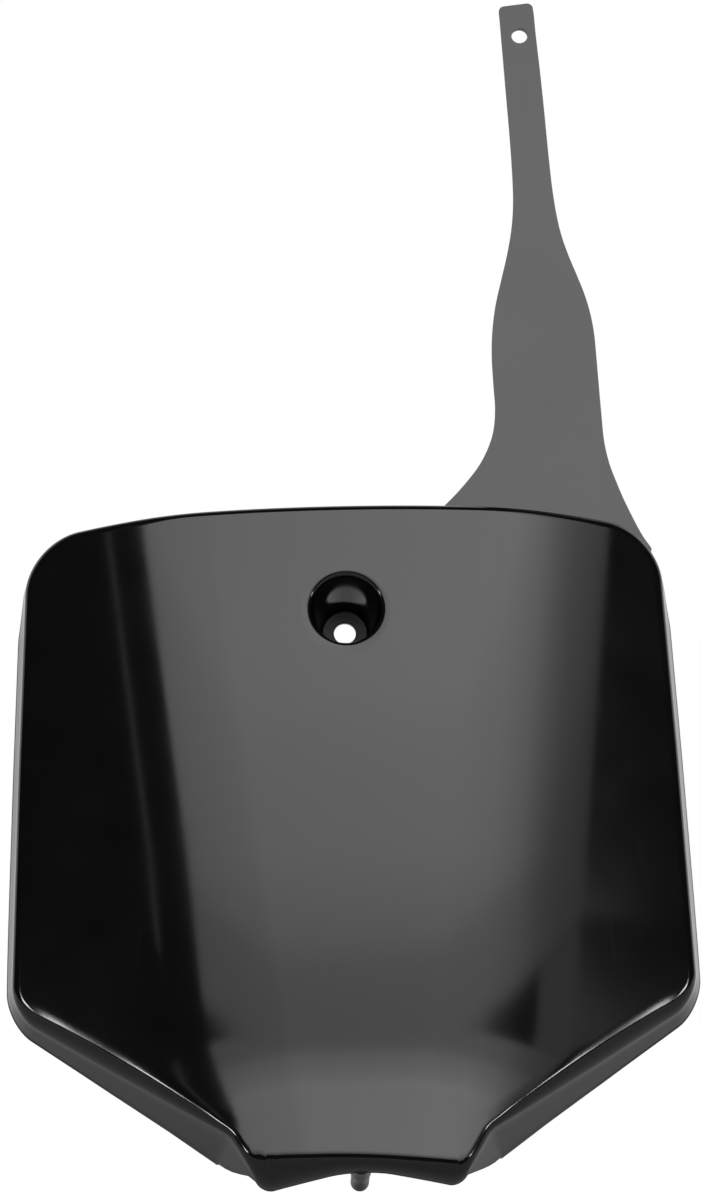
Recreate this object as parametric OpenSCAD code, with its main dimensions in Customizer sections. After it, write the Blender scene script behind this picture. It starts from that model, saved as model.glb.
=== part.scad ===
// Front number plate for an off-road motorcycle, moulded in one piece with a fold-back strap.
// Frame: origin at the bolt hole, on the back of the well floor. +X is to the right of someone
// facing the plate, +Z is up, the face looks towards -Y. The plate leans back by "lean".
// Inside the modules x is across, y is depth (positive is back) and z runs up the face.

/* [Attitude] */
// Lean of the plate back from upright, in degrees
lean = 19; // [10:1:28]

/* [Face outline] */
// Half width at the upper corners
top_half = 115; // [95:0.5:135]
// Half width at mid height
mid_half = 119; // [100:0.5:140]
// Half width at the lower corners
low_half = 122.6; // [100:0.5:145]
// Height of the top edge above the bolt axis, before the arch rounds it off
top_rise = 44.2; // [36:0.2:60]
// Height of the upper corners above the bolt axis
shoulder_rise = 33; // [25:0.5:45]
// Depth of the mid height point below the bolt axis
mid_drop = 50; // [40:1:70]
// Depth of the lower corners below the bolt axis
corner_drop = 140; // [115:1:160]
// Half width between the two inner corners at the top of the chin
chin_half = 46; // [38:0.5:55]
// Depth of those inner corners below the bolt axis
chin_drop = 191.5; // [175:0.5:205]
// Half width between the two lobes at the bottom of the chin
lobe_half = 34.8; // [28:0.2:42]
// Depth of the lobes below the bolt axis
lobe_drop = 211; // [200:0.5:225]
// Depth of the middle of the chin's lower edge below the bolt axis
notch_drop = 204.4; // [195:0.2:215]

/* [Outline radii] */
// Radius of the arched top edge
arch_r = 750; // [500:10:1200]
// Radius of the slight corner half way down each side
side_r = 500; // [300:10:800]
// Radius of the notch between the chin's two lobes
notch_r = 60; // [40:5:90]
// Radius of the upper corners
top_corner_r = 22; // [12:1:28]
// Radius of the lower corners
low_corner_r = 18; // [10:1:24]
// Radius of the inner corners of the chin
chin_corner_r = 9; // [6:0.5:12]
// Radius of the lobes of the chin
lobe_r = 6; // [4.5:0.5:8]

/* [Face shape] */
// Wall thickness of the plate
wall = 2.2; // [1.8:0.1:2.8]
// Radius of the rolled edge all round the face
edge_r = 3.2; // [3:0.1:4]
// Half width of the flat middle at the bolt axis
flat_half = 70; // [60:1:80]
// Narrowing of the flat middle, per mm of drop
flat_taper = 0.13; // [0.08:0.01:0.16]
// Fold of each side wing back from the flat middle, in degrees
wing_angle = 20; // [12:1:26]
// Half length of the soft bend between the middle and a wing
bend_soft = 26; // [10:1:30]
// Tilt of the lower part of the face back from the flat, in degrees
waist_angle = 4; // [0:1:8]
// Kick of the chin forward from that, in degrees
kick_angle = 13; // [6:1:18]
// Angle by which the chin's lower edge rolls under, in degrees
roll_angle = 48; // [35:1:55]
// Depth of the line where the chin rolls under, below the bolt axis
roll_drop = 200; // [192:0.5:205]

/* [Return flange] */
// Flare of the flange outwards, in degrees
flare = 13; // [4:1:16]
// Flare of the flange along the top edge, in degrees
top_flare = 3; // [1:1:6]
// Depth of the flange's rear edge at the lower corners
rear_low = 8; // [4:1:12]
// Depth of the flange's rear edge at mid height
rear_mid = 3; // [0:1:7]
// Depth of the flange's rear edge at the chin's inner corners
rear_chin = 2; // [-6:1:5]

/* [Bolt well] */
// Distance from the face to the front of the well floor
well_depth = 28.5; // [22:0.5:32]
// Diameter of the well floor
floor_d = 17.2; // [16:0.2:20]
// Diameter of the well mouth, inside its rounded lip
mouth_d = 25; // [23:0.5:28]
// Radius of the rounded lip
lip_r = 2; // [1.5:0.1:2.1]
// Thickness of the well floor
floor_t = 2; // [1.8:0.1:3]
// Diameter of the bolt hole
bolt_hole_d = 8; // [6.5:0.1:9]

/* [Locating peg] */
// Diameter of the peg
peg_d = 6.6; // [5:0.1:8]
// Diameter of the stouter root that the peg stands on
peg_root_d = 7.6; // [6:0.1:9]
// Length of the peg's free end, including its rounded tip
peg_free = 19; // [12:0.5:22]
// Depth of the peg's axis below the bolt axis
peg_drop = 202.6; // [198:0.1:206]
// Depth of the peg's tip behind the well floor
peg_reach = 7; // [-2:0.5:12]

/* [Strap] */
// Thickness of the strap
strap_t = 2; // [1.6:0.1:2.4]
// Depth of the strap's back face, measured from the back of the well floor
strap_front = 10; // [8:0.5:12]
// Sideways place of the strap's hole
hole_x = 71.7; // [60:0.1:85]
// Height of the strap's hole above the bolt axis
hole_rise = 232; // [215:1:255]
// Diameter of the strap's hole
strap_hole_d = 6; // [5:0.1:6.6]
// Width of the strap at its hole
tip_w = 13.6; // [12:0.2:18]
// Width of the strap where it starts to widen
neck_w = 15.8; // [14:0.2:20]
// Width of the strap's broad part
broad_w = 39; // [30:0.5:44]
// Length of strap beyond the centre of its hole
tip_over = 12.8; // [10:0.5:20]

/* [Strap fold] */
// Total turn of the loop when the strap is closed, in degrees
loop_turn = 195; // [188:1:204]
// Distance from the strap's hole to its last bend
seat_len = 11.5; // [10:0.5:16]
// Gap left between neighbouring strap links
link_gap = 0.3; // [0.2:0.05:0.4]
// Gap between the closed strap and the back of the well floor
seat_gap = 0.6; // [0.2:0.1:1]

/* [Hidden] */

black = [0.13, 0.13, 0.14];
strap_grey = [0.32, 0.32, 0.33];
face_depth = well_depth + floor_t;
plate_mid = [0, -75];
arc_step = 14;
edge_step = 15;
clear = 5;

// ---- helpers for outlines -------------------------------------------------------------
function unit(p) = p / norm(p);
function left_of(p) = [-p[1], p[0]];
function cross2(a, b) = a[0] * b[1] - a[1] * b[0];
function sum(list, i = 0) = i >= len(list) ? 0 : list[i] + sum(list, i + 1);

// One rounded corner b with radius r between a and c, as a short run of points
function corner_run(a, b, c, r) =
    let (u = unit(a - b), w = unit(c - b), inside = acos(u * w), half = inside / 2)
    let (reach = r / tan(half), mid = b + unit(u + w) * r / sin(half))
    let (start = b + u * reach, turn = 180 - inside, way = cross2(b - a, c - b) > 0 ? 1 : -1)
    let (count = max(ceil(turn / arc_step), ceil(r * turn * PI / 180 / edge_step)))
    let (spoke = start - mid)
    [for (i = [0:count]) let (t = way * turn * i / count)
        mid + [spoke[0] * cos(t) - spoke[1] * sin(t), spoke[0] * sin(t) + spoke[1] * cos(t)]];

function all_corners(k) = let (n = len(k))
    [for (i = [0:n - 1]) let (a = k[(i + n - 1) % n], b = k[i], c = k[(i + 1) % n])
        corner_run([a[0], a[1]], [b[0], b[1]], [c[0], c[1]], b[2])];

// Joins the corners and splits the straight runs between them
function closed_run(runs) = let (n = len(runs))
    [for (i = [0:n - 1]) let (run = runs[i], last = run[len(run) - 1], next = runs[(i + 1) % n][0])
        let (count = max(1, ceil(norm(next - last) / edge_step)))
        each concat(run, [for (j = [1:1:count - 1]) last + (next - last) * j / count])];

// A smooth curve through points, with steps per span
function curve(p, steps) = let (n = len(p))
    [for (i = [0:n - 2], j = [0:steps - 1 + (i == n - 2 ? 1 : 0)])
        let (a = p[max(i - 1, 0)], b = p[i], c = p[i + 1], d = p[min(i + 2, n - 1)], t = j / steps)
        (2 * b + (c - a) * t + (2 * a - 5 * b + 4 * c - d) * t * t
            + (3 * b - a - 3 * c + d) * t * t * t) / 2];

// ---- face -----------------------------------------------------------------------------
half_outline = [[top_half, shoulder_rise, top_corner_r], [mid_half, -mid_drop, side_r],
    [low_half, -corner_drop, low_corner_r], [chin_half, -chin_drop, chin_corner_r],
    [lobe_half, -lobe_drop, lobe_r]];
last_half = len(half_outline) - 1;
outline_keys = concat([[0, top_rise, arch_r]], half_outline, [[0, -notch_drop, notch_r]],
    [for (i = [last_half:-1:0]) [-half_outline[i][0], half_outline[i][1], half_outline[i][2]]]);
outline = closed_run(all_corners(outline_keys));
count = len(outline);
normals = [for (i = [0:count - 1])
    unit(left_of(outline[(i + 1) % count] - outline[(i + count - 1) % count]))];

// Grows smoothly from nothing to d as d passes through zero
function soft(d, s) = d <= -s ? 0 : d >= s ? d : (d + s) * (d + s) / (4 * s);

waist_drop = 0.86 * corner_drop;
waist_soft = 30;
kick_drop = roll_drop - 28;
kick_soft = 15;
roll_soft = 3.5;
function face_y(p) = -face_depth
    + tan(wing_angle) * soft(abs(p[0]) - flat_half - flat_taper * p[1], bend_soft)
    + tan(waist_angle) * soft(-p[1] - waist_drop, waist_soft)
    - tan(kick_angle) * soft(-p[1] - kick_drop, kick_soft)
    + tan(roll_angle) * soft(-p[1] - roll_drop, roll_soft);

rear_table = [[-lobe_drop, -60], [-chin_drop - 14, -22], [-chin_drop - 6, -6],
    [-chin_drop, rear_chin], [-chin_drop + 12, rear_chin + 1], [-corner_drop - 25, rear_low - 2],
    [-corner_drop - 5, rear_low + 1], [-corner_drop + 20, rear_low], [-mid_drop, rear_mid],
    [0, 0], [shoulder_rise - 6, -8], [shoulder_rise + 3, -strap_front], [top_rise, -strap_front]];
least_flange = 0.6;
function rear_y(p) = let (edge = face_y(p) + edge_r + least_flange)
    abs(p[0]) < lobe_half - 2 && p[1] < 0 ? edge : max(edge, lookup(p[1], rear_table));
function flare_at(p) = lookup(p[1], [[0, flare], [shoulder_rise - 6, top_flare]]);

ring_scales = [0.14, 0.28, 0.42, 0.55, 0.67, 0.78, 0.87, 0.93, 0.97, 1];
roll_steps = [22.5, 45, 67.5, 90];

function inset(i, d) = outline[i] - normals[i] * d;
function face_ring(s, back) = [for (i = [0:count - 1])
    let (p = plate_mid + (inset(i, edge_r) - plate_mid) * s) [p[0], face_y(p) + back, p[1]]];
function roll_ring(t, r, back) = [for (i = [0:count - 1])
    let (p = inset(i, edge_r - r * sin(t))) [p[0], face_y(p) + back + r * (1 - cos(t)), p[1]]];
function rear_point(i) = let (p = outline[i], run = rear_y(p) - face_y(p) - edge_r)
    p + normals[i] * tan(flare_at(p)) * run;
function rear_ring(d) = [for (i = [0:count - 1])
    let (p = rear_point(i) - normals[i] * d) [p[0], rear_y(outline[i]), p[1]]];

inner_r = edge_r - wall;
skin_rings = concat([for (s = ring_scales) face_ring(s, 0)],
    [for (t = roll_steps) roll_ring(t, edge_r, 0)], [rear_ring(0)], [rear_ring(wall)],
    [for (i = [len(roll_steps) - 1:-1:0]) roll_ring(roll_steps[i], inner_r, wall)],
    [for (i = [len(ring_scales) - 1:-1:0]) face_ring(ring_scales[i], wall)]);
ring_count = len(skin_rings);

module skin() {
    front_mid = [plate_mid[0], face_y(plate_mid), plate_mid[1]];
    back_mid = front_mid + [0, wall, 0];
    points = concat([for (ring = skin_rings) each ring], [front_mid, back_mid]);
    first = ring_count * count;
    faces = concat(
        [for (i = [0:count - 1]) [first, i, (i + 1) % count]],
        [for (k = [0:ring_count - 2], i = [0:count - 1], h = [0, 1])
            let (a = k * count + i, b = k * count + (i + 1) % count)
            h == 0 ? [a, a + count, b] : [b, a + count, b + count]],
        [for (i = [0:count - 1])
            [first + 1, first - count + (i + 1) % count, first - count + i]]);
    polyhedron(points, faces);
}

module placed() {
    rotate([-lean, 0, 0]) children();
}

// A round body about an axis that runs from front to back
module turned(profile) {
    rotate([-90, 0, 0]) rotate_extrude($fn = 96) polygon(profile);
}

rim_land = 1.4;
neck_extra = 1;
lip_out = mouth_d / 2 + lip_r;
rim_r = lip_out + rim_land;

module shield() {
    color(black) placed() difference() {
        skin();
        translate([0, -face_depth - clear, 0]) rotate([-90, 0, 0])
            cylinder(r = rim_r, h = wall + 2 * clear, $fn = 96);
    }
}

module bolt_well() {
    lip_y = -face_depth + lip_r;
    neck_y = -face_depth + wall + neck_extra;
    lip = [for (t = [0:15:90]) [lip_out - lip_r * sin(t), lip_y - lip_r * cos(t)]];
    profile = concat([[bolt_hole_d / 2, 0], [bolt_hole_d / 2, -floor_t], [floor_d / 2, -floor_t]],
        [for (i = [len(lip) - 1:-1:0]) lip[i]],
        [[rim_r, -face_depth], [rim_r, neck_y], [floor_d / 2 + wall, 0]]);
    color(black) placed() turned(profile);
}

peg_r = peg_d / 2;
peg_face = face_y([0, -peg_drop]);
peg_base = peg_face - 0.7;
peg_cut = peg_face + 1.9;
peg_cut_turn = 36;
peg_cut_size = 10;
peg_shoulder = peg_reach - peg_free;
peg_straight = peg_free - peg_r;
echo(peg_shoulder = peg_shoulder, peg_straight = peg_straight);

// The root is cut to the slope of the chin, so that it stays behind the face
module locating_peg() {
    color(black) placed() translate([0, 0, -peg_drop]) union() {
        difference() {
            translate([0, peg_base, 0]) rotate([-90, 0, 0])
                cylinder(d = peg_root_d, h = peg_shoulder - peg_base, $fn = 48);
            translate([0, peg_cut, 0]) rotate([peg_cut_turn, 0, 0])
                translate([-peg_root_d, -peg_cut_size, -peg_cut_size])
                    cube([2 * peg_root_d, peg_cut_size, 2 * peg_cut_size]);
        }
        translate([0, peg_shoulder, 0]) rotate([-90, 0, 0])
            cylinder(r = peg_r, h = peg_straight, $fn = 48);
        translate([0, peg_reach - peg_r, 0]) sphere(r = peg_r, $fn = 48);
    }
}

// ---- strap ----------------------------------------------------------------------------
// The closed strap carries its hole onto the bolt hole, so every bend line lies square to the
// line between the two holes. Distances along that line are measured from the bolt hole.
bends = 7;
hole_far = norm([hole_x, hole_rise]);
bend_turn = loop_turn / bends;
bend_tilt = atan2(hole_x, hole_rise);
rise_sum = sum([for (i = [1:bends - 1]) 1 - cos(i * bend_turn)]);
back_sum = sum([for (i = [1:bends - 1]) sin(i * bend_turn)]);
fold_len = hole_far - 2 * seat_len + strap_t * sin(loop_turn);
fold_back = strap_front + seat_gap + strap_t * (1 + cos(loop_turn));
fold_det = rise_sum * sin(loop_turn) - back_sum * (1 - cos(loop_turn));
pitch = (fold_len * sin(loop_turn) - fold_back * (1 - cos(loop_turn))) / fold_det;
run_len = (rise_sum * fold_back - back_sum * fold_len) / fold_det;
first_bend = hole_far - seat_len - run_len - (bends - 1) * pitch;
function bend_at(i) = i < bends ? first_bend + i * pitch : hole_far - seat_len;
echo(first_bend = first_bend, pitch = pitch, last_bend = bend_at(bends), tilt = bend_tilt,
    turn = bend_turn, hole = hole_far);

root_x = 76.6;
neck_rise = hole_rise - 65;
broad_rise = hole_rise - 131;
foot_rise = shoulder_rise + 44;
function mid_x(z) = lookup(z, [[broad_rise, root_x], [hole_rise, hole_x]]);
function side(z, w, way) = [mid_x(z) + way * w / 2, z];
tip_end = hole_rise + tip_over;
left_edge = [[28, shoulder_rise + 4], [38, shoulder_rise + 12.6], [46.5, shoulder_rise + 20.5],
    [52.3, shoulder_rise + 29], [56.4, foot_rise - 3], side(broad_rise, broad_w, -1),
    side(broad_rise + 16, broad_w - 2.5, -1), side(neck_rise - 16.5, (broad_w + neck_w) / 2 - 6.5, -1),
    side(neck_rise, neck_w, -1), side(hole_rise - 23, (tip_w + neck_w) / 2 - 0.4, -1),
    side(tip_end, tip_w, -1)];
right_edge = [[108.5, shoulder_rise], [103.9, shoulder_rise + 11.3], [100.6, shoulder_rise + 19.2],
    [98.5, shoulder_rise + 27.1], [96.5, foot_rise - 1], side(broad_rise, broad_w, 1),
    side(broad_rise + 16, broad_w - 2.5, 1), side(neck_rise - 34, (broad_w + neck_w) / 2 + 1, 1),
    side(neck_rise - 17, (broad_w + neck_w) / 2 - 7, 1), side(neck_rise, neck_w, 1),
    side(hole_rise - 23, (tip_w + neck_w) / 2 - 0.4, 1), side(tip_end, tip_w, 1)];
curve_steps = 4;
inner_foot = [[40, shoulder_rise - 8], [100, shoulder_rise - 12]];
strap_edge = concat(curve(right_edge, curve_steps),
    [for (i = [len(left_edge) * curve_steps - curve_steps:-1:0]) curve(left_edge, curve_steps)[i]],
    inner_foot);
inside_edge = [for (i = [0:count - 1]) rear_point(i) - normals[i] * wall / 2];

// The strap's flat outline, lying in its own plane
module strap_flat() {
    translate([0, -strap_front, 0]) rotate([90, 0, 0]) linear_extrude(strap_t) children();
}

band_w = 300;
cover = 1;
beyond_tip = hole_far + 100;

// A slab across the strap, between two distances along the line of the two holes
module band(from, to) {
    rotate([0, bend_tilt, 0]) translate([-band_w / 2, -strap_front - strap_t - cover, from])
        cube([band_w, strap_t + 2 * cover, to - from]);
}

half_gap = link_gap / 2;

module strap_root() {
    color(strap_grey) placed() difference() {
        strap_flat() polygon(strap_edge);
        strap_flat() polygon(inside_edge);
        band(bend_at(0) - half_gap, beyond_tip);
    }
}

module strap_link(i) {
    color(strap_grey) placed() intersection() {
        strap_flat() polygon(strap_edge);
        band(bend_at(i - 1) + half_gap, bend_at(i) - half_gap);
    }
}

module strap_tip() {
    color(strap_grey) placed() difference() {
        intersection() {
            strap_flat() polygon(strap_edge);
            band(bend_at(bends) + half_gap, beyond_tip);
        }
        translate([hole_x, -strap_front - strap_t - cover, hole_rise]) rotate([-90, 0, 0])
            cylinder(d = strap_hole_d, h = strap_t + 2 * cover, $fn = 48);
    }
}

shield();
bolt_well();
locating_peg();
strap_root();
strap_link(1);  // strap_link_1
strap_link(2);  // strap_link_2
strap_link(3);  // strap_link_3
strap_link(4);  // strap_link_4
strap_link(5);  // strap_link_5
strap_link(6);  // strap_link_6
strap_link(7);  // strap_run
strap_tip();
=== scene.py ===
import math

import bmesh
import bpy
from mathutils import Matrix, Vector


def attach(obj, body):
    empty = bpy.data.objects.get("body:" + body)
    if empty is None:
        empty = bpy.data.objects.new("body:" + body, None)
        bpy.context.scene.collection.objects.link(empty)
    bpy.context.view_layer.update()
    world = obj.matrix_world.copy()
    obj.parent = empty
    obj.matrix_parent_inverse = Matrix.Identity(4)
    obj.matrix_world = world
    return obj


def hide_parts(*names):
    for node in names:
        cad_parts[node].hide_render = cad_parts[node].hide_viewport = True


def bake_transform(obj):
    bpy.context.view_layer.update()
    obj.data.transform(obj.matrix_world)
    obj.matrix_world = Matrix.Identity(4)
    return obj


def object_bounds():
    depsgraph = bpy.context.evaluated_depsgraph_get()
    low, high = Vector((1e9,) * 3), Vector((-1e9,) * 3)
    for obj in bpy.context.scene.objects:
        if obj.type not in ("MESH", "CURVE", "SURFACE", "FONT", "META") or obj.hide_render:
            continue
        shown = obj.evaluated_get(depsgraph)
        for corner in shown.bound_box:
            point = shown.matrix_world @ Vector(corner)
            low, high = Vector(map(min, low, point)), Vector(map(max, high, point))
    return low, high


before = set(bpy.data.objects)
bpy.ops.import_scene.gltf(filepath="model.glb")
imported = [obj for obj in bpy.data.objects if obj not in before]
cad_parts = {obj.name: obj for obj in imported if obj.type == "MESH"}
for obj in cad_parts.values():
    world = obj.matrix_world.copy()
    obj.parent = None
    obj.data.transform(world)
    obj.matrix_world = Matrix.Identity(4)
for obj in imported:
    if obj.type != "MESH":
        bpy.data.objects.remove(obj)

cad_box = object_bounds()
MM = 0.001

# ---- sizes of the plate, in mm, in its own leaning frame ------------------------------
# x runs across, y runs back from the face, z runs up the face; the origin is the bolt hole
LEAN = math.radians(19)
OUTLINE = [  # corner x, corner z, radius; right half, from the top middle to the bottom middle
    (0, 44.2, 750), (115, 33, 22), (119, -50, 500), (122.6, -140, 18),
    (46, -191.5, 9), (34.8, -211, 6), (0, -204.4, 60)]
WALL = 2.2
EDGE_R = 3.2
RIDGE_EXTRA = 1.6
RIDGE_FALL = math.tan(math.radians(16))
RIDGE_WIDE = 7.5
RIDGE_FOOT_X, RIDGE_FOOT_Z, RIDGE_LEN = 46.0, 191.5, 92.3
RIDGE_X, RIDGE_Z = 0.83, 0.558
LEAST_FLANGE = 0.6
FACE_DEPTH = 30.5
FLOOR_T = 2.0
LOBE_HALF = 34.8
FLAT_HALF = 70.0
FLAT_TAPER = 0.13
WING = math.tan(math.radians(20))
BEND_SOFT = 26.0
WAIST = math.tan(math.radians(4))
WAIST_DROP, WAIST_SOFT = 120.4, 30.0
KICK = math.tan(math.radians(13))
KICK_DROP, KICK_SOFT = 172.0, 15.0
ROLL_UNDER = math.tan(math.radians(48))
ROLL_DROP, ROLL_SOFT = 202.0, 3.5
ROLL_SLANT, ROLL_SLANT_SOFT = 0.1, 15.0
REAR_EDGE = [(-211, -60), (-205.5, -22), (-197.5, -6), (-191.5, 2), (-179.5, 3), (-165, 6),
             (-145, 9), (-120, 8), (-50, 3), (0, 0), (27, -8), (36, -10), (44.2, -10)]
FLARE = [(0, 13), (27, 3)]
WELL_FLOOR_R, WELL_MOUTH_R, LIP_R, BOLT_R = 8.6, 12.5, 2.0, 4.0
FLOOR_FILLET = 0.9
CUP_TOP_R, CUP_FOOT_R, CUP_FILLET = 14.9, 10.8, 2.4
FACE_RINGS, BACK_RINGS = 84, 36
STRAP_T, STRAP_BACK = 2.0, 10.0
HOLE_X, HOLE_Z, STRAP_HOLE_R = 71.7, 232.0, 3.0
TIP_R, TIP_HALF, TIP_OVER = 2.2, 6.45, 12.8
TIP_LEFT = 0.95
STRAP_EDGE_R, STRAP_RIM = 0.55, 0.25
PEG_Z, PEG_R, PEG_ROOT_R, PEG_TIP, PEG_SHOULDER = -202.6, 3.3, 3.8, 7.0, -12.0
PEG_FRONT, PEG_CUT, PEG_CUT_SLOPE = -30.2, -28.3, 0.72


def placed(x, y, z):
    """A point of the leaning frame, in mm, as a point of the row frame in metres."""
    return Vector((x, y * math.cos(LEAN) + z * math.sin(LEAN),
                   z * math.cos(LEAN) - y * math.sin(LEAN))) * MM


def between(table, value):
    """Straight-line reading of a table of (value, result) pairs."""
    if value <= table[0][0]:
        return table[0][1]
    for (a, ya), (b, yb) in zip(table, table[1:]):
        if value <= b:
            return ya + (yb - ya) * (value - a) / (b - a)
    return table[-1][1]


def soft(d, s):
    """Grows smoothly from nothing to d as d passes through zero."""
    return 0.0 if d <= -s else d if d >= s else (d + s) ** 2 / (4 * s)


def face_y(x, z):
    """Depth of the front of the face: a flat middle, two wings folded back, and the chin."""
    return (-FACE_DEPTH + WING * soft(abs(x) - FLAT_HALF - FLAT_TAPER * z, BEND_SOFT)
            + WAIST * soft(-z - WAIST_DROP, WAIST_SOFT) - KICK * soft(-z - KICK_DROP, KICK_SOFT)
            + ROLL_UNDER * soft(-z - ROLL_DROP - ROLL_SLANT * soft(x, ROLL_SLANT_SOFT), ROLL_SOFT))


def skin_y(x, z):
    """The face as moulded: it also falls away a little just inside the two slanting ridges."""
    out, up = abs(x) - RIDGE_FOOT_X, z + RIDGE_FOOT_Z
    inside, along = up * RIDGE_X - out * RIDGE_Z, (out * RIDGE_X + up * RIDGE_Z) / RIDGE_LEN
    if inside > RIDGE_WIDE or not 0 < along < 1:
        return face_y(x, z)
    share = min(1.0, 7 * min(along, 1 - along))
    fall = RIDGE_FALL * (RIDGE_WIDE - inside) ** 2 / (2 * RIDGE_WIDE)
    return face_y(x, z) + fall * share * share * (3 - 2 * share)


# ---- outline of the face --------------------------------------------------------------
def rounded_outline():
    """The outline's points in order, from a corner polygon whose corners are beveled round."""
    corners = OUTLINE + [(-x, z, r) for x, z, r in OUTLINE[-2:0:-1]]
    bm = bmesh.new()
    verts = [bm.verts.new((x, 0, z)) for x, z, r in corners]
    bm.faces.new(verts)
    for vert, (x, z, r) in zip(verts, corners):
        a, b = (edge.other_vert(vert).co - vert.co for edge in vert.link_edges)
        turn = math.pi - a.angle(b)
        steps = max(math.ceil(math.degrees(turn) / 5), math.ceil(r * turn / 3.6))
        bmesh.ops.bevel(bm, geom=[vert], offset=r * math.tan(turn / 2), offset_type="OFFSET",
                        segments=steps, profile=0.5, affect="VERTICES", material=-1)
    for edge in [e for e in bm.edges if e.calc_length() > 5.4]:
        cuts = math.ceil(edge.calc_length() / 3.6) - 1
        bmesh.ops.subdivide_edges(bm, edges=[edge], cuts=cuts)
    bm.faces.ensure_lookup_table()
    points = [Vector((loop.vert.co.x, loop.vert.co.z)) for loop in bm.faces[0].loops]
    bm.free()
    return points


outline = rounded_outline()
COUNT = len(outline)
if sum(a.x * b.y - b.x * a.y for a, b in zip(outline, outline[1:] + outline[:1])) > 0:
    outline.reverse()
out_ways = []
for i in range(COUNT):
    along = (outline[(i + 1) % COUNT] - outline[i - 1]).normalized()
    out_ways.append(Vector((-along.y, along.x)))
spoke_ways = [p.normalized() for p in outline]


def stepped_in(i, d):
    return outline[i] - out_ways[i] * d


def rear_y(i):
    x, z = outline[i]
    edge = face_y(x, z) + EDGE_R + LEAST_FLANGE
    if abs(x) < LOBE_HALF - 2 and z < 0:
        return edge
    return max(edge, between(REAR_EDGE, z))


rear_depths = [rear_y(i) for i in range(COUNT)]


def edge_radius(i):
    """The rolled edge is fuller along the two slanting sides of the bottom."""
    x, z = outline[i]
    share = (-z - 137) / 52
    if abs(x) < 44 or not 0 < share < 1:
        return EDGE_R
    return EDGE_R + RIDGE_EXTRA * math.sin(math.pi * share) ** 0.8


edge_radii = [edge_radius(i) for i in range(COUNT)]


def flange_point(i, run, thick):
    """A point on the flange, run of the way from the rolled edge to its rear edge."""
    x, z = outline[i]
    front = face_y(x, z)
    depth = rear_depths[i] - front - EDGE_R
    start = skin_y(x, z) + edge_radii[i] if depth > 8 else front + EDGE_R
    flare = math.tan(math.radians(between(FLARE, z)))
    p = outline[i] + out_ways[i] * (flare * depth * run - thick)
    return (p.x, start + (rear_depths[i] - start) * run, p.y)


def round_ring(r, y):
    return [(w.x * r, y, w.y * r) for w in spoke_ways]


def face_ring(share, r, back):
    ring = []
    for i in range(COUNT):
        p = (spoke_ways[i] * r).lerp(stepped_in(i, edge_radii[i]), share)
        ring.append((p.x, skin_y(p.x, p.y) + back, p.y))
    return ring


def edge_ring(turn, back):
    """The rolled edge, at a turn from the face round to the flange; back is 0 or the wall."""
    ring = []
    for i in range(COUNT):
        r = edge_radii[i] - back
        p = stepped_in(i, edge_radii[i] - r * math.sin(turn))
        ring.append((p.x, skin_y(p.x, p.y) + back + r * (1 - math.cos(turn)), p.y))
    return ring


def rim_ring(turn):
    """Rounds the flange's rear edge from its outer to its inner side."""
    ring = []
    for i in range(COUNT):
        x, y, z = flange_point(i, 1.0, WALL / 2 * (1 - math.cos(turn)))
        ring.append((x, y + 0.5 * math.sin(turn) - 0.5, z))
    return ring


def well_rings():
    """From the front edge of the bolt hole up the well's wall to the lip."""
    front = -FLOOR_T
    rings = [round_ring(BOLT_R, front + 0.3), round_ring(BOLT_R + 0.09, front + 0.09),
             round_ring(BOLT_R + 0.3, front), round_ring(5.6, front), round_ring(7.0, front)]
    for t in (0, 30, 60, 90):
        a = math.radians(t)
        rings.append(round_ring(WELL_FLOOR_R - FLOOR_FILLET * (1 - math.sin(a)),
                                front - FLOOR_FILLET * (1 - math.cos(a))))
    top, foot = -FACE_DEPTH + LIP_R, front - FLOOR_FILLET
    for t in (0.2, 0.4, 0.6, 0.8, 0.93):
        rings.append(round_ring(WELL_FLOOR_R + (WELL_MOUTH_R - WELL_FLOOR_R) * t,
                                foot + (top - foot) * t))
    for t in range(0, 91, 15):
        a = math.radians(t)
        rings.append(round_ring(WELL_MOUTH_R + LIP_R * (1 - math.cos(a)), top - LIP_R * math.sin(a)))
    return rings


def cup_back_rings():
    """From the back of the face down the outside of the well to the back of its floor."""
    top = -FACE_DEPTH + WALL
    rings = []
    for t in range(90, -1, -18):
        a = math.radians(t)
        rings.append(round_ring(CUP_TOP_R + CUP_FILLET * (1 - math.cos(a)),
                                top + CUP_FILLET * (1 - math.sin(a))))
    start = top + CUP_FILLET
    for t in (0.25, 0.5, 0.75, 0.94):
        rings.append(round_ring(CUP_TOP_R + (CUP_FOOT_R - CUP_TOP_R) * t, start * (1 - t)))
    rings += [round_ring(10.5, -0.12), round_ring(10.1, 0), round_ring(8, 0), round_ring(5.6, 0),
              round_ring(BOLT_R + 0.3, 0), round_ring(BOLT_R + 0.09, -0.09), round_ring(BOLT_R, -0.3)]
    return rings


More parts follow.
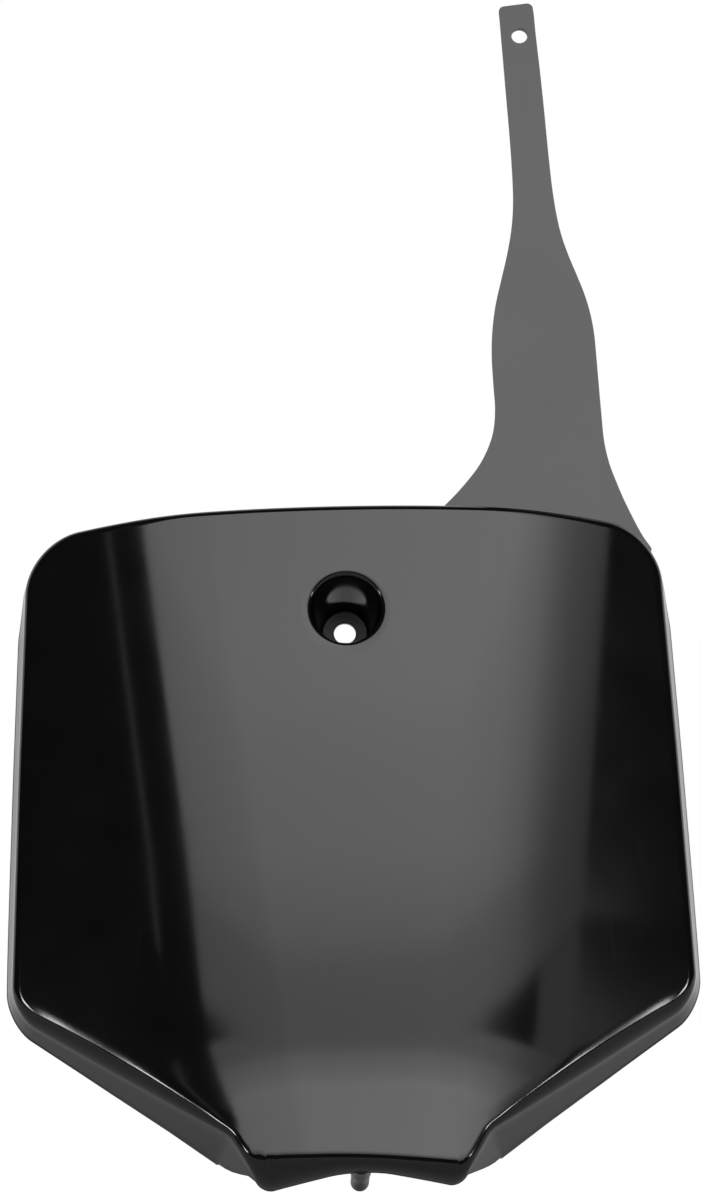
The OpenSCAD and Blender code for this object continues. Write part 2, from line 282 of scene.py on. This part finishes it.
def build_shell():
    """The whole moulding but its peg and strap, as one closed skin of rings round the well."""
    lip = WELL_MOUTH_R + LIP_R
    rings = well_rings()
    rings += [face_ring(1 - (1 - k / FACE_RINGS) ** 1.6, lip, 0) for k in range(1, FACE_RINGS + 1)]
    rings += [edge_ring(math.radians(t), 0) for t in range(8, 89, 8)]
    rings += [[flange_point(i, run, 0) for i in range(COUNT)] for run in (0.2, 0.4, 0.6, 0.8, 0.94)]
    rings += [rim_ring(math.radians(t)) for t in range(0, 181, 30)]
    rings += [[flange_point(i, run, WALL) for i in range(COUNT)] for run in (0.92, 0.6, 0.3)]
    rings += [edge_ring(math.radians(t), WALL) for t in (90, 60, 30)]
    rings += [face_ring(1 - (k / BACK_RINGS) ** 1.35, CUP_TOP_R + CUP_FILLET, WALL)
              for k in range(BACK_RINGS)]
    rings += cup_back_rings()
    bm = bmesh.new()
    spoke = bm.verts.layers.int.new("spoke")
    bmesh.ops.create_circle(bm, segments=COUNT, radius=BOLT_R)
    bm.verts.ensure_lookup_table()
    for i, vert in enumerate(bm.verts):
        vert[spoke] = i
    first = edges = list(bm.edges)
    for v in bm.verts:
        v.co = placed(*rings[0][v[spoke]])
    for ring in rings[1:]:
        new = bmesh.ops.extrude_edge_only(bm, edges=edges)["geom"]
        for v in new:
            if isinstance(v, bmesh.types.BMVert):
                v.co = placed(*ring[v[spoke]])
        edges = [e for e in new if isinstance(e, bmesh.types.BMEdge) and all(
            len(v.link_edges) == 3 for v in e.verts)]
    bmesh.ops.bridge_loops(bm, edges=first + edges)
    bmesh.ops.recalc_face_normals(bm, faces=bm.faces)
    return bm


def finished(bm, name, sharp=None):
    mesh = bpy.data.meshes.new(name)
    bm.to_mesh(mesh)
    bm.free()
    mesh.shade_smooth()
    if sharp:
        mesh.set_sharp_from_angle(angle=math.radians(sharp))
    piece = bpy.data.objects.new(name, mesh)
    bpy.context.scene.collection.objects.link(piece)
    return piece


shell = finished(build_shell(), "plate_shell")
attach(shell, "plate")
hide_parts("shield", "bolt_well")

# ---- locating peg ---------------------------------------------------------------------
def build_peg():
    """The peg behind the chin: a stouter root, a pin and a domed tip, cut to the chin's slope."""
    profile = [(0, PEG_FRONT), (4.0, PEG_FRONT), (3.95, -26), (3.9, -24.2),
               (PEG_ROOT_R, -22.4), (PEG_ROOT_R - 0.05, -18), (PEG_ROOT_R - 0.1, PEG_SHOULDER - 0.9),
               (PEG_ROOT_R - 0.16, PEG_SHOULDER - 0.5), (PEG_R + 0.12, PEG_SHOULDER - 0.05),
               (PEG_R, PEG_SHOULDER + 0.4), (PEG_R, -6), (PEG_R, 0), (PEG_R, PEG_TIP - PEG_R)]
    for t in range(12, 90, 12):
        a = math.radians(t)
        profile.append((PEG_R * math.cos(a), PEG_TIP - PEG_R + PEG_R * math.sin(a)))
    profile.append((0, PEG_TIP))
    bm = bmesh.new()
    verts = [bm.verts.new(placed(r, y, PEG_Z)) for r, y in profile]
    edges = [bm.edges.new(pair) for pair in zip(verts, verts[1:])]
    bmesh.ops.spin(bm, geom=verts + edges, cent=placed(0, 0, PEG_Z),
                   axis=placed(0, 1, 0).normalized(), angle=math.tau, steps=48, use_merge=True)
    bmesh.ops.remove_doubles(bm, verts=bm.verts, dist=1e-6)
    slope = placed(0, 1, PEG_CUT_SLOPE).normalized()
    made = bmesh.ops.bisect_plane(bm, geom=bm.verts[:] + bm.edges[:] + bm.faces[:], dist=1e-7,
                                  plane_co=placed(0, PEG_CUT, PEG_Z), plane_no=slope,
                                  clear_inner=True)
    rim = [e for e in made["geom_cut"] if isinstance(e, bmesh.types.BMEdge)]
    bmesh.ops.holes_fill(bm, edges=rim, sides=0)
    bmesh.ops.recalc_face_normals(bm, faces=bm.faces)
    return bm


peg = finished(build_peg(), "chin_peg", sharp=50)
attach(peg, "plate")
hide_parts("locating_peg")

# ---- strap ----------------------------------------------------------------------------
BENDS, PITCH, FIRST_BEND, LAST_BEND = 7, 7.98197, 98.4286, 231.327
TIP_SPLIT, ROWS = 190.0, 8
HOLE_WAY = Vector((HOLE_X, HOLE_Z)).normalized()
STRAP_MID = [(101, 76.6), (HOLE_Z, HOLE_X)]
LEFT_FOOT = [(28, 37), (38, 45.6), (46.2, 54.5), (51.9, 62.5), (55.9, 72), (57.3, 82)]
RIGHT_FOOT = [(112.5, 27), (108.9, 33), (103.9, 44.3), (101, 52.2), (98.5, 60.1), (96.9, 69),
              (96.3, 80)]
LEFT_WIDTHS = [(92, 39.1), (103, 39.4), (113, 37.6), (123, 33.9), (133, 28.3), (143, 22.5),
               (153, 17.8), (163, 14.9), (174, 13.7), (190, 13.3), (209, 13.5), (226, 13.7),
               (243, 14.7)]
RIGHT_WIDTHS = [(92, 38.4), (103, 37.7), (111, 37.5), (119, 36), (127, 32.8), (135, 28.1),
                (143, 23.1), (151, 19.2), (159, 16.9), (170, 15.3), (185, 14.5), (202, 14),
                (218, 13.3), (232, 12.4), (243, 11.3)]


def smooth_line(points, steps):
    """A smooth line through a row of points."""
    p = [Vector(q) for q in points]
    p = [p[0] * 2 - p[1]] + p + [p[-1] * 2 - p[-2]]
    line = []
    for a, b, c, d in zip(p, p[1:], p[2:], p[3:]):
        for k in range(steps):
            t = k / steps
            line.append(0.5 * (2 * b + (c - a) * t + (2 * a - 5 * b + 4 * c - d) * t * t
                               + (3 * b - a - 3 * c + d) * t ** 3))
    return line + [p[-2]]


def strap_side(foot, widths, way):
    points = foot + [(between(STRAP_MID, z) + way * w / 2, z) for z, w in widths]
    return smooth_line(points, 5)


def strap_outline():
    """The flat strap's outline, its foot following the middle of the shell's rear edge."""
    flange_mid = []
    for i in range(COUNT):
        x, y, z = flange_point(i, 1.0, WALL / 2)
        if z > 12:
            flange_mid.append((x, z))
    flange_mid.sort()
    left, right = strap_side(LEFT_FOOT, LEFT_WIDTHS, -1), strap_side(RIGHT_FOOT, RIGHT_WIDTHS, 1)
    left = [p for p in left if p.y > between(flange_mid, p.x)]
    right = [p for p in right if p.y > between(flange_mid, p.x)]
    foot = [Vector(p) for p in flange_mid if left[0].x < p[0] < right[0].x]

    def tip_corner(way):
        corner = Vector((HOLE_X + way * TIP_HALF - TIP_LEFT, HOLE_Z + TIP_OVER + way * 0.5))
        turns = [math.radians(t) for t in range(0, 91, 15)]
        return [corner + TIP_R * Vector((-way * (1 - math.cos(a)), math.sin(a) - 1)) for a in turns]

    tip = tip_corner(-1) + tip_corner(1)[::-1]
    return left[:-1] + tip + right[-2::-1] + foot[::-1]


def build_strap():
    """The whole strap lying flat, with rounded edges and its hole."""
    bm = bmesh.new()
    outer = [bm.verts.new(placed(p.x, -STRAP_BACK, p.y)) for p in strap_outline()]
    hole = []
    for k in range(40):
        a = math.tau * k / 40
        hole.append(bm.verts.new(placed(HOLE_X + STRAP_HOLE_R * math.cos(a), -STRAP_BACK,
                                        HOLE_Z + STRAP_HOLE_R * math.sin(a))))
    edges = [bm.edges.new(pair) for loop in (outer, hole) for pair in zip(loop, loop[1:] + loop[:1])]
    bmesh.ops.triangle_fill(bm, use_beauty=True, use_dissolve=False, edges=edges)
    grown = bmesh.ops.extrude_face_region(bm, geom=list(bm.faces))["geom"]
    bmesh.ops.translate(bm, verts=[v for v in grown if isinstance(v, bmesh.types.BMVert)],
                        vec=placed(0, -STRAP_T, 0))
    bmesh.ops.recalc_face_normals(bm, faces=bm.faces)
    rims = [e for e in bm.edges if len(e.link_faces) == 2 and e.calc_face_angle() > 1]
    bmesh.ops.bevel(bm, geom=rims, offset=STRAP_EDGE_R * MM, offset_type="OFFSET", segments=4,
                    profile=0.5, affect="EDGES", material=-1, clamp_overlap=True)
    out = placed(0, -1, 0).normalized()
    for way in (out, -out):
        flat = [f for f in bm.faces if f.normal.dot(way) > 0.9999]
        bmesh.ops.inset_region(bm, faces=flat, thickness=STRAP_RIM * MM, use_even_offset=True)
    return bm


def across(distance):
    """A point and a direction for a cut square to the line of the two holes."""
    point = placed(HOLE_WAY.x * distance, -STRAP_BACK, HOLE_WAY.y * distance)
    way = placed(HOLE_WAY.x, 0, HOLE_WAY.y).normalized()
    return point, way


def cut_strap(whole, name, start, end, cuts):
    """One length of the strap with closed ends, and rows of cuts where it has to bend."""
    bm = whole.copy()
    for distance, side in ((start, "clear_inner"), (end, "clear_outer")):
        if distance is None:
            continue
        point, way = across(distance)
        made = bmesh.ops.bisect_plane(bm, geom=bm.verts[:] + bm.edges[:] + bm.faces[:], dist=1e-7,
                                      plane_co=point, plane_no=way, **{side: True})
        rim = [e for e in made["geom_cut"] if isinstance(e, bmesh.types.BMEdge)]
        bmesh.ops.holes_fill(bm, edges=rim, sides=0)
    for distance in cuts:
        point, way = across(distance)
        bmesh.ops.bisect_plane(bm, geom=bm.verts[:] + bm.edges[:] + bm.faces[:], dist=1e-7,
                               plane_co=point, plane_no=way)
    bmesh.ops.recalc_face_normals(bm, faces=bm.faces)
    return finished(bm, name, sharp=55)


strap_bodies = ["plate"] + ["strap_link_%d" % k for k in range(1, 7)] + ["strap_run", "strap_tip"]
strap_nodes = ["strap_root"] + strap_bodies[1:]
whole_strap = build_strap()
link_mids = [FIRST_BEND + (k - 0.5) * PITCH for k in range(BENDS + 1)]
strap_pieces = []
for k in range(BENDS + 1):
    if k < BENDS:
        begin, stop = link_mids[k], link_mids[k + 1]
        start, end = (None if k == 0 else begin), (stop if k < BENDS - 1 else TIP_SPLIT)
    else:
        begin, stop = LAST_BEND - 6, LAST_BEND + 5
        start, end = TIP_SPLIT, None
    first_row = 1 if 0 < k < BENDS else 0
    rows = [begin + (stop - begin) * j / ROWS for j in range(first_row, ROWS + 1)]
    strap_piece = cut_strap(whole_strap, "strap_part_%d" % (k + 1), start, end,
                            [r for r in rows if (start or 0) + 0.1 < r < (end or 999) - 0.1])
    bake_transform(strap_piece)
    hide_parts(strap_nodes[k], *([strap_nodes[k + 1]] if k == BENDS else []))
    strap_pieces.append(strap_piece)
whole_strap.free()


# ---- camera ---------------------------------------------------------------------------
camera = bpy.data.objects.new("camera", bpy.data.cameras.new("camera"))
bpy.context.scene.collection.objects.link(camera)
bpy.context.scene.camera = camera


def aim_camera(aim, azimuth, elevation, roll, distance):
    a, e, r = (math.radians(v) for v in (azimuth, elevation, roll))
    ahead = Vector((-math.sin(a) * math.cos(e), math.cos(a) * math.cos(e), -math.sin(e)))
    right = ahead.cross(Vector((0, 0, 1))).normalized()
    up = right.cross(ahead)
    right, up = right * math.cos(r) - up * math.sin(r), right * math.sin(r) + up * math.cos(r)
    turn = Matrix((right, up, -ahead)).transposed().to_4x4()
    camera.matrix_world = Matrix.Translation(aim - ahead * distance) @ turn


aim_camera(Vector((0, -0.020, 0.010)), -1.380, 0.493, 1.131, 2.0)
camera.data.sensor_fit = "VERTICAL"
camera.data.sensor_height = 36
camera.data.lens = 166.161
camera.data.shift_x = 0.0045417
camera.data.shift_y = 0.006725
camera.data.clip_end = 20


# ---- finishes -------------------------------------------------------------------------
def gloss_plastic(name, colour, rough, texture):
    """Moulded plastic: a faint ripple, a fine haze of handling marks, and soft scratches."""
    material = bpy.data.materials.new(name)
    material.use_nodes = True
    nodes, links = material.node_tree.nodes, material.node_tree.links
    shader = nodes["Principled BSDF"]
    shader.inputs["IOR"].default_value = 1.5
    place = nodes.new("ShaderNodeTexCoord")

    def noise(scale, detail, stretch=(1, 1, 1), turn=(0, 0, 0)):
        mapping = nodes.new("ShaderNodeMapping")
        mapping.inputs["Scale"].default_value = stretch
        mapping.inputs["Rotation"].default_value = turn
        links.new(place.outputs["Object"], mapping.inputs["Vector"])
        field = nodes.new("ShaderNodeTexNoise")
        field.inputs["Scale"].default_value = scale
        field.inputs["Detail"].default_value = detail
        links.new(mapping.outputs["Vector"], field.inputs["Vector"])
        return field.outputs["Fac"]

    def spread(source, low, high, to_low, to_high):
        reach = nodes.new("ShaderNodeMapRange")
        for socket, value in zip(("From Min", "From Max", "To Min", "To Max"),
                                 (low, high, to_low, to_high)):
            reach.inputs[socket].default_value = value
        links.new(source, reach.inputs["Value"])
        return reach.outputs["Result"]

    def math_node(kind, a, b):
        node = nodes.new("ShaderNodeMath")
        node.operation = kind
        links.new(a, node.inputs[0])
        links.new(b, node.inputs[1])
        return node.outputs[0]

    haze = spread(noise(28, 5), 0.35, 0.7, rough * 0.88, rough * 1.15)
    scuffs = spread(noise(90, 3, (1, 1, 0.06), (0.5, 0.3, 0.9)), 0.66, 0.74, 0, 0.035)
    links.new(math_node("ADD", haze, scuffs), shader.inputs["Roughness"])
    tone = nodes.new("ShaderNodeMixRGB")
    tone.inputs["Color1"].default_value = (*[c * 0.85 for c in colour], 1)
    tone.inputs["Color2"].default_value = (*[c * 1.2 for c in colour], 1)
    links.new(spread(noise(55, 4), 0.3, 0.7, 0, 1), tone.inputs["Fac"])
    links.new(tone.outputs["Color"], shader.inputs["Base Color"])
    height = math_node("ADD", spread(noise(16, 1.5), 0, 1, 0, 1),
                       spread(noise(1400, 2), 0, 1, 0, texture))
    bump = nodes.new("ShaderNodeBump")
    bump.inputs["Strength"].default_value = 0.25
    bump.inputs["Distance"].default_value = 0.0001
    links.new(height, bump.inputs["Height"])
    links.new(bump.outputs["Normal"], shader.inputs["Normal"])
    return material


shell_black = gloss_plastic("gloss_black_plastic", (0.004, 0.004, 0.0041), 0.1, 0.06)
strap_black = gloss_plastic("satin_strap_plastic", (0.013, 0.013, 0.0132), 0.2, 0.15)
well_matte = gloss_plastic("matte_well_floor", (0.006, 0.006, 0.0061), 0.48, 0.4)
for piece in [shell, peg]:
    piece.data.materials.append(shell_black)
shell.data.materials.append(well_matte)
well_way = placed(0, 1, 0).normalized()
for face in shell.data.polygons:
    deep = face.center.dot(well_way)
    off_axis = (face.center - well_way * deep).length
    if abs(deep + FLOOR_T * MM) < 0.3 * MM and off_axis < (WELL_FLOOR_R - 0.3) * MM:
        face.material_index = 1
for piece in strap_pieces:
    piece.data.materials.append(strap_black)
for node in ("shield", "bolt_well", "locating_peg"):
    for place in bpy.data.objects[node].material_slots:
        place.material = shell_black
for node in strap_nodes:
    for place in bpy.data.objects[node].material_slots:
        place.material = strap_black


# ---- floor and light ------------------------------------------------------------------
low = cad_box[0].z
LAMP_AWAY, LOW_LAMP_AWAY = 2.6, 2.4


def paper_glow():
    """The paper glows faintly below the plate and more strongly behind it."""
    material = bpy.data.materials.new("pale_paper")
    material.use_nodes = True
    nodes, links = material.node_tree.nodes, material.node_tree.links
    shader = nodes["Principled BSDF"]
    shader.inputs["Base Color"].default_value = (0.6, 0.6, 0.6, 1)
    shader.inputs["Roughness"].default_value = 0.9
    shader.inputs["Emission Color"].default_value = (1, 1, 1, 1)
    place = nodes.new("ShaderNodeTexCoord")
    split = nodes.new("ShaderNodeSeparateXYZ")
    fade = nodes.new("ShaderNodeMapRange")
    for socket, value in (("From Min", -0.12), ("From Max", 0.3), ("To Min", 0.04), ("To Max", 0.5)):
        fade.inputs[socket].default_value = value
    links.new(place.outputs["Object"], split.inputs["Vector"])
    links.new(split.outputs["Y"], fade.inputs["Value"])
    links.new(fade.outputs["Result"], shader.inputs["Emission Strength"])
    return material


def backdrop():
    """Pale paper that lights the plate from below and behind, and curves up well behind it."""
    bm = bmesh.new()
    profile = [(-6.0, low), (1.0, low)]
    for t in range(10, 91, 10):
        a = math.radians(t)
        profile.append((1.0 + 0.8 * math.sin(a), low + 0.8 * (1 - math.cos(a))))
    profile.append((1.8, 4.0))
    verts = [bm.verts.new((-4, y, z)) for y, z in profile]
    edges = [bm.edges.new(pair) for pair in zip(verts, verts[1:])]
    new = bmesh.ops.extrude_edge_only(bm, edges=edges)["geom"]
    bmesh.ops.translate(bm, verts=[v for v in new if isinstance(v, bmesh.types.BMVert)],
                        vec=(8, 0, 0))
    bmesh.ops.recalc_face_normals(bm, faces=bm.faces)
    piece = finished(bm, "pale_paper")
    piece.visible_camera = False
    piece.data.materials.append(paper_glow())


def wide_floor():
    """A plain white floor, seen by the camera alone and from every side."""
    bm = bmesh.new()
    bmesh.ops.create_grid(bm, x_segments=1, y_segments=1, size=40)
    bmesh.ops.translate(bm, verts=bm.verts, vec=(0, 0, low - 0.0005))
    piece = finished(bm, "pale_floor")
    material = bpy.data.materials.new("white_floor")
    material.use_nodes = True
    nodes, links = material.node_tree.nodes, material.node_tree.links
    nodes.remove(nodes["Principled BSDF"])
    glow = nodes.new("ShaderNodeEmission")
    links.new(glow.outputs["Emission"], nodes["Material Output"].inputs["Surface"])
    piece.data.materials.append(material)
    for side in ("diffuse", "glossy", "transmission", "volume_scatter", "shadow"):
        setattr(piece, "visible_" + side, False)


wide_floor()
backdrop()


def softbox(name, azimuth, elevation, distance, width, height, power):
    """A flat studio light facing the plate; azimuth 0 is in front, to the right is positive."""
    lamp = bpy.data.lights.new(name, "AREA")
    lamp.shape, lamp.size, lamp.size_y, lamp.energy = "RECTANGLE", width, height, power
    a, e = math.radians(azimuth), math.radians(elevation)
    way = Vector((math.sin(a) * math.cos(e), -math.cos(a) * math.cos(e), math.sin(e)))
    piece = bpy.data.objects.new(name, lamp)
    face = way.to_track_quat("Z", "Y").to_matrix().to_4x4()
    piece.matrix_world = Matrix.Translation(way * distance) @ face
    piece.visible_camera = False
    bpy.context.scene.collection.objects.link(piece)


def glow_sheet(name, distance, across, upward):
    """A curved glowing sheet round the plate; its tables give brightness by azimuth and height."""
    bm = bmesh.new()
    left, right, first, last = (math.radians(v) for v in (
        across[0][0], across[-1][0], upward[0][0], upward[-1][0]))
    rows = [first + (last - first) * k / 16 for k in range(17)]
    verts = [bm.verts.new((math.sin(left) * math.cos(e) * distance,
                           -math.cos(left) * math.cos(e) * distance,
                           math.sin(e) * distance)) for e in rows]
    edges = [bm.edges.new(pair) for pair in zip(verts, verts[1:])]
    bmesh.ops.spin(bm, geom=verts + edges, cent=(0, 0, 0), axis=(0, 0, 1), angle=right - left,
                   steps=24, use_merge=False)
    piece = finished(bm, name)
    piece.visible_camera = False
    material = bpy.data.materials.new(name + "_glow")
    material.use_nodes = True
    nodes, links = material.node_tree.nodes, material.node_tree.links
    nodes.remove(nodes["Principled BSDF"])

    def node(kind, **settings):
        made = nodes.new(kind)
        for key, value in settings.items():
            setattr(made, key, value)
        return made

    def graded(source, table):
        low, high = table[0][0], table[-1][0]
        reach = node("ShaderNodeMapRange")
        reach.inputs["From Min"].default_value = low
        reach.inputs["From Max"].default_value = high
        ramp = node("ShaderNodeValToRGB")
        stops = ramp.color_ramp.elements
        stops.remove(stops[1])
        for k, (place, value) in enumerate(table):
            spot = (place - low) / (high - low)
            stop = stops.new(spot) if k else stops[0]
            stop.color = (value, value, value, 1)
        links.new(source, reach.inputs["Value"])
        links.new(reach.outputs["Result"], ramp.inputs["Fac"])
        return ramp.outputs["Color"]

    place = node("ShaderNodeTexCoord")
    split = node("ShaderNodeSeparateXYZ")
    behind = node("ShaderNodeMath", operation="MULTIPLY")
    behind.inputs[1].default_value = -1
    turn = node("ShaderNodeMath", operation="ARCTAN2")
    glow = node("ShaderNodeEmission")
    mixed = node("ShaderNodeMixRGB", blend_type="MULTIPLY")
    mixed.inputs["Fac"].default_value = 1
    links.new(place.outputs["Object"], split.inputs["Vector"])
    links.new(split.outputs["Y"], behind.inputs[0])
    links.new(split.outputs["X"], turn.inputs[0])
    links.new(behind.outputs[0], turn.inputs[1])
    top = max(value for e, value in upward)
    height_table = [(math.sin(math.radians(e)) * distance, value / top) for e, value in upward]
    links.new(graded(split.outputs["Z"], height_table), mixed.inputs["Color1"])
    links.new(graded(turn.outputs[0], [(math.radians(a), v) for a, v in across]),
              mixed.inputs["Color2"])
    glow.inputs["Strength"].default_value = top
    links.new(mixed.outputs["Color"], glow.inputs["Color"])
    links.new(glow.outputs["Emission"], nodes["Material Output"].inputs["Surface"])
    piece.data.materials.append(material)


glow_sheet("high_softbox", LAMP_AWAY,
           [(-25, 0.74), (-3, 0.82), (4, 0.99), (20, 1.0), (28.5, 0.86), (34, 0.6), (39, 0.45),
            (44, 0.4), (48, 0.33)],
           [(18.5, 1.8), (22, 1.7), (25.3, 1.8), (27, 2.3), (31, 2.7), (35, 3.1), (36, 3.6),
            (38, 3.4), (43, 3.4), (66, 3.4)])
softbox("left_strip", -36, 34, LAMP_AWAY, 0.03, 1.3, 0.12)
softbox("left_low_box", -52.5, 7, LOW_LAMP_AWAY, 0.42, 0.27, 7)
softbox("right_low_box", 55, 7, LOW_LAMP_AWAY, 0.42, 0.22, 5.5)
softbox("right_grey_card", 41, 14.5, LAMP_AWAY, 0.46, 0.34, 0.29)

bpy.context.scene.view_settings.view_transform = "Standard"
world = bpy.data.worlds.new("studio")
bpy.context.scene.world = world
world.use_nodes = True
nodes, links = world.node_tree.nodes, world.node_tree.links
nodes["Background"].inputs["Color"].default_value = (1, 1, 1, 1)
seen = nodes.new("ShaderNodeLightPath")
strength = nodes.new("ShaderNodeMapRange")
strength.inputs["To Min"].default_value = 0.02
strength.inputs["To Max"].default_value = 1.0
links.new(seen.outputs["Is Camera Ray"], strength.inputs["Value"])
links.new(strength.outputs["Result"], nodes["Background"].inputs["Strength"])
